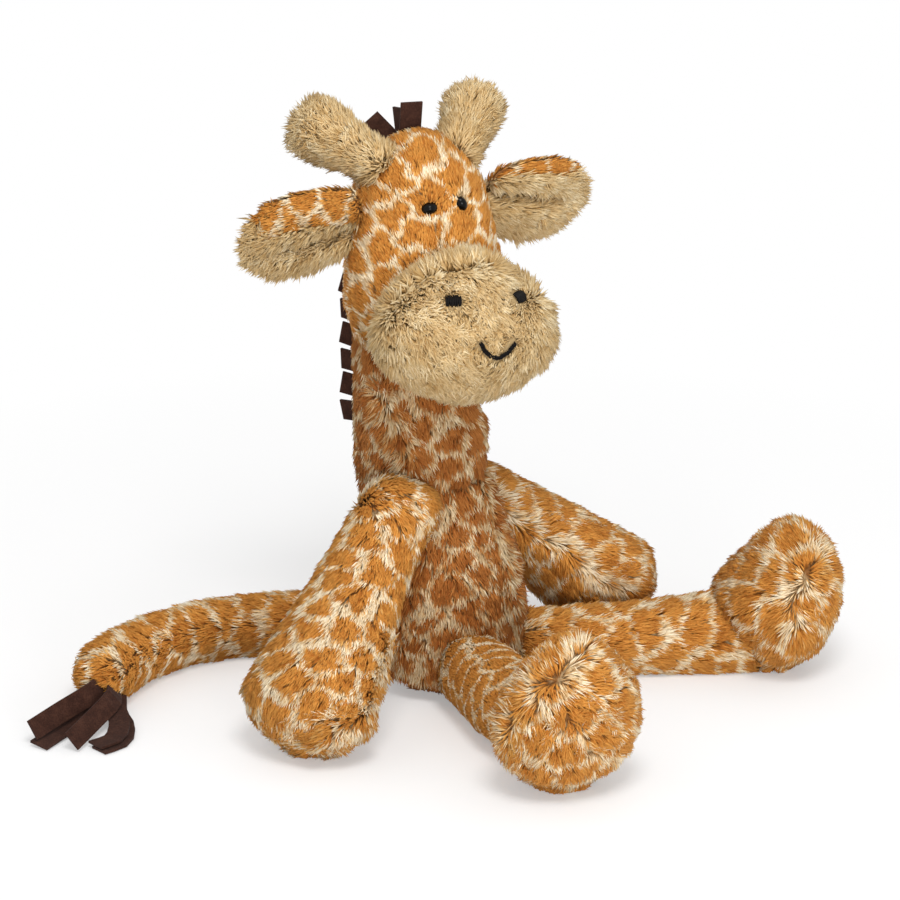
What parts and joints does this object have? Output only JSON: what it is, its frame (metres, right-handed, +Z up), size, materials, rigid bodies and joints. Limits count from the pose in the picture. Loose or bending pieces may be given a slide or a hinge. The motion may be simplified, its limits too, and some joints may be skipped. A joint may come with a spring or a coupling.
{
  "type": "plush giraffe",
  "caption": "Seated plush giraffe with a round neck, broad muzzle, floppy arms and legs, big feet, stuffed horns, ears, a long tail with a suede tassel and a row of mane tabs.",
  "frame": {"origin": "middle of the flat on the torso's seat, on the surface that the toy sits on", "axes": "+Z up, the body faces -Y, +X towards the toy's own left"},
  "size_m": [0.2754, 0.2511, 0.2458],
  "materials": {
    "patch_fur": "medium pile plush, orange-brown patches on cream",
    "beige_fur": "fluffy beige plush",
    "suede": "matt dark brown suede strip",
    "eye_plastic": "polished black",
    "washer_plastic": "natural white moulding",
    "thread": "satin stitch in black thread",
    "bag_cloth": "plain woven bag filled with plastic pellets"
  },
  "bodies": {
    "torso": {"torso": "patch_fur", "pellet_bag": "bag_cloth"},
    "neck": {"neck": "patch_fur", "neck_tab_1": "suede", "neck_tab_2": "suede", "neck_tab_3": "suede", "neck_tab_4": "suede", "neck_tab_5": "suede", "neck_tab_6": "suede"},
    "head": {"head": "patch_fur", "muzzle": "beige_fur", "nostril_right": "thread", "nostril_left": "thread", "mouth": "thread", "eye_right": "eye_plastic", "eye_left": "eye_plastic", "eye_washer_right": "washer_plastic", "eye_washer_left": "washer_plastic", "crown_tab_1": "suede", "crown_tab_2": "suede", "crown_tab_3": "suede"},
    "horn_right": {"horn_right": "beige_fur"},
    "horn_left": {"horn_left": "beige_fur"},
    "ear_right": {"ear_back_right": "patch_fur", "ear_lining_right": "beige_fur"},
    "ear_left": {"ear_back_left": "patch_fur", "ear_lining_left": "beige_fur"},
    "arm_right": {"arm_right": "patch_fur"},
    "arm_left": {"arm_left": "patch_fur"},
    "leg_right": {"leg_right": "patch_fur", "foot_right": "patch_fur"},
    "leg_left": {"leg_left": "patch_fur", "foot_left": "patch_fur"},
    "tail": {"tail": "patch_fur", "tassel_strip_1": "suede", "tassel_strip_2": "suede", "tassel_strip_3": "suede", "tassel_strip_4": "suede", "tassel_strip_5": "suede"}
  },
  "joints": [
    {"name": "neck_bend", "type": "hinge", "parent": "torso", "child": "neck", "pos_m": [0, 0.017, 0.108], "axis": [1, 0, 0], "range_deg": [-12, 20]},
    {"name": "head_turn", "type": "hinge", "parent": "neck", "child": "head", "pos_m": [0, 0.017, 0.145], "axis": [0, 0, 1], "range_deg": [-30, 30]},
    {"name": "horn_right_flop", "type": "hinge", "parent": "head", "child": "horn_right", "pos_m": [-0.01875, 0.02206, 0.224], "axis": [-0.9633, -0.2685, 0], "range_deg": [-10, 10]},
    {"name": "horn_left_flop", "type": "hinge", "parent": "head", "child": "horn_left", "pos_m": [0.01511, 0.00481, 0.224], "axis": [0.349, -0.9371, 0], "range_deg": [-10, 10]},
    {"name": "ear_right_flop", "type": "hinge", "parent": "head", "child": "ear_right", "pos_m": [-0.03036, 0.02349, 0.2045], "axis": [-0.3661, -0.2471, 0.8972], "range_deg": [-20, 20]},
    {"name": "ear_left_flop", "type": "hinge", "parent": "head", "child": "ear_left", "pos_m": [0.0231, -0.00375, 0.2045], "axis": [0.0153, -0.4414, 0.8972], "range_deg": [-20, 20]},
    {"name": "arm_right_raise", "type": "hinge", "parent": "torso", "child": "arm_right", "pos_m": [-0.03259, 0.00484, 0.0815], "axis": [-0.0329, 0.999, -0.0317], "range_deg": [0, 80]},
    {"name": "arm_left_raise", "type": "hinge", "parent": "torso", "child": "arm_left", "pos_m": [0.03259, 0.01516, 0.0745], "axis": [-0.349, -0.8512, 0.3919], "range_deg": [0, 80]},
    {"name": "leg_right_raise", "type": "hinge", "parent": "torso", "child": "leg_right", "pos_m": [-0.0195, -0.03145, 0.015], "axis": [-0.8499, 0.527, 0], "range_deg": [0, 35]},
    {"name": "leg_left_raise", "type": "hinge", "parent": "torso", "child": "leg_left", "pos_m": [0.02413, -0.02805, 0.015], "axis": [-0.7581, -0.6521, 0], "range_deg": [0, 35]},
    {"name": "tail_swing", "type": "hinge", "parent": "torso", "child": "tail", "pos_m": [-0.00348, 0.036, 0.0145], "axis": [0, 0, 1], "range_deg": [-40, 15]}
  ]
}
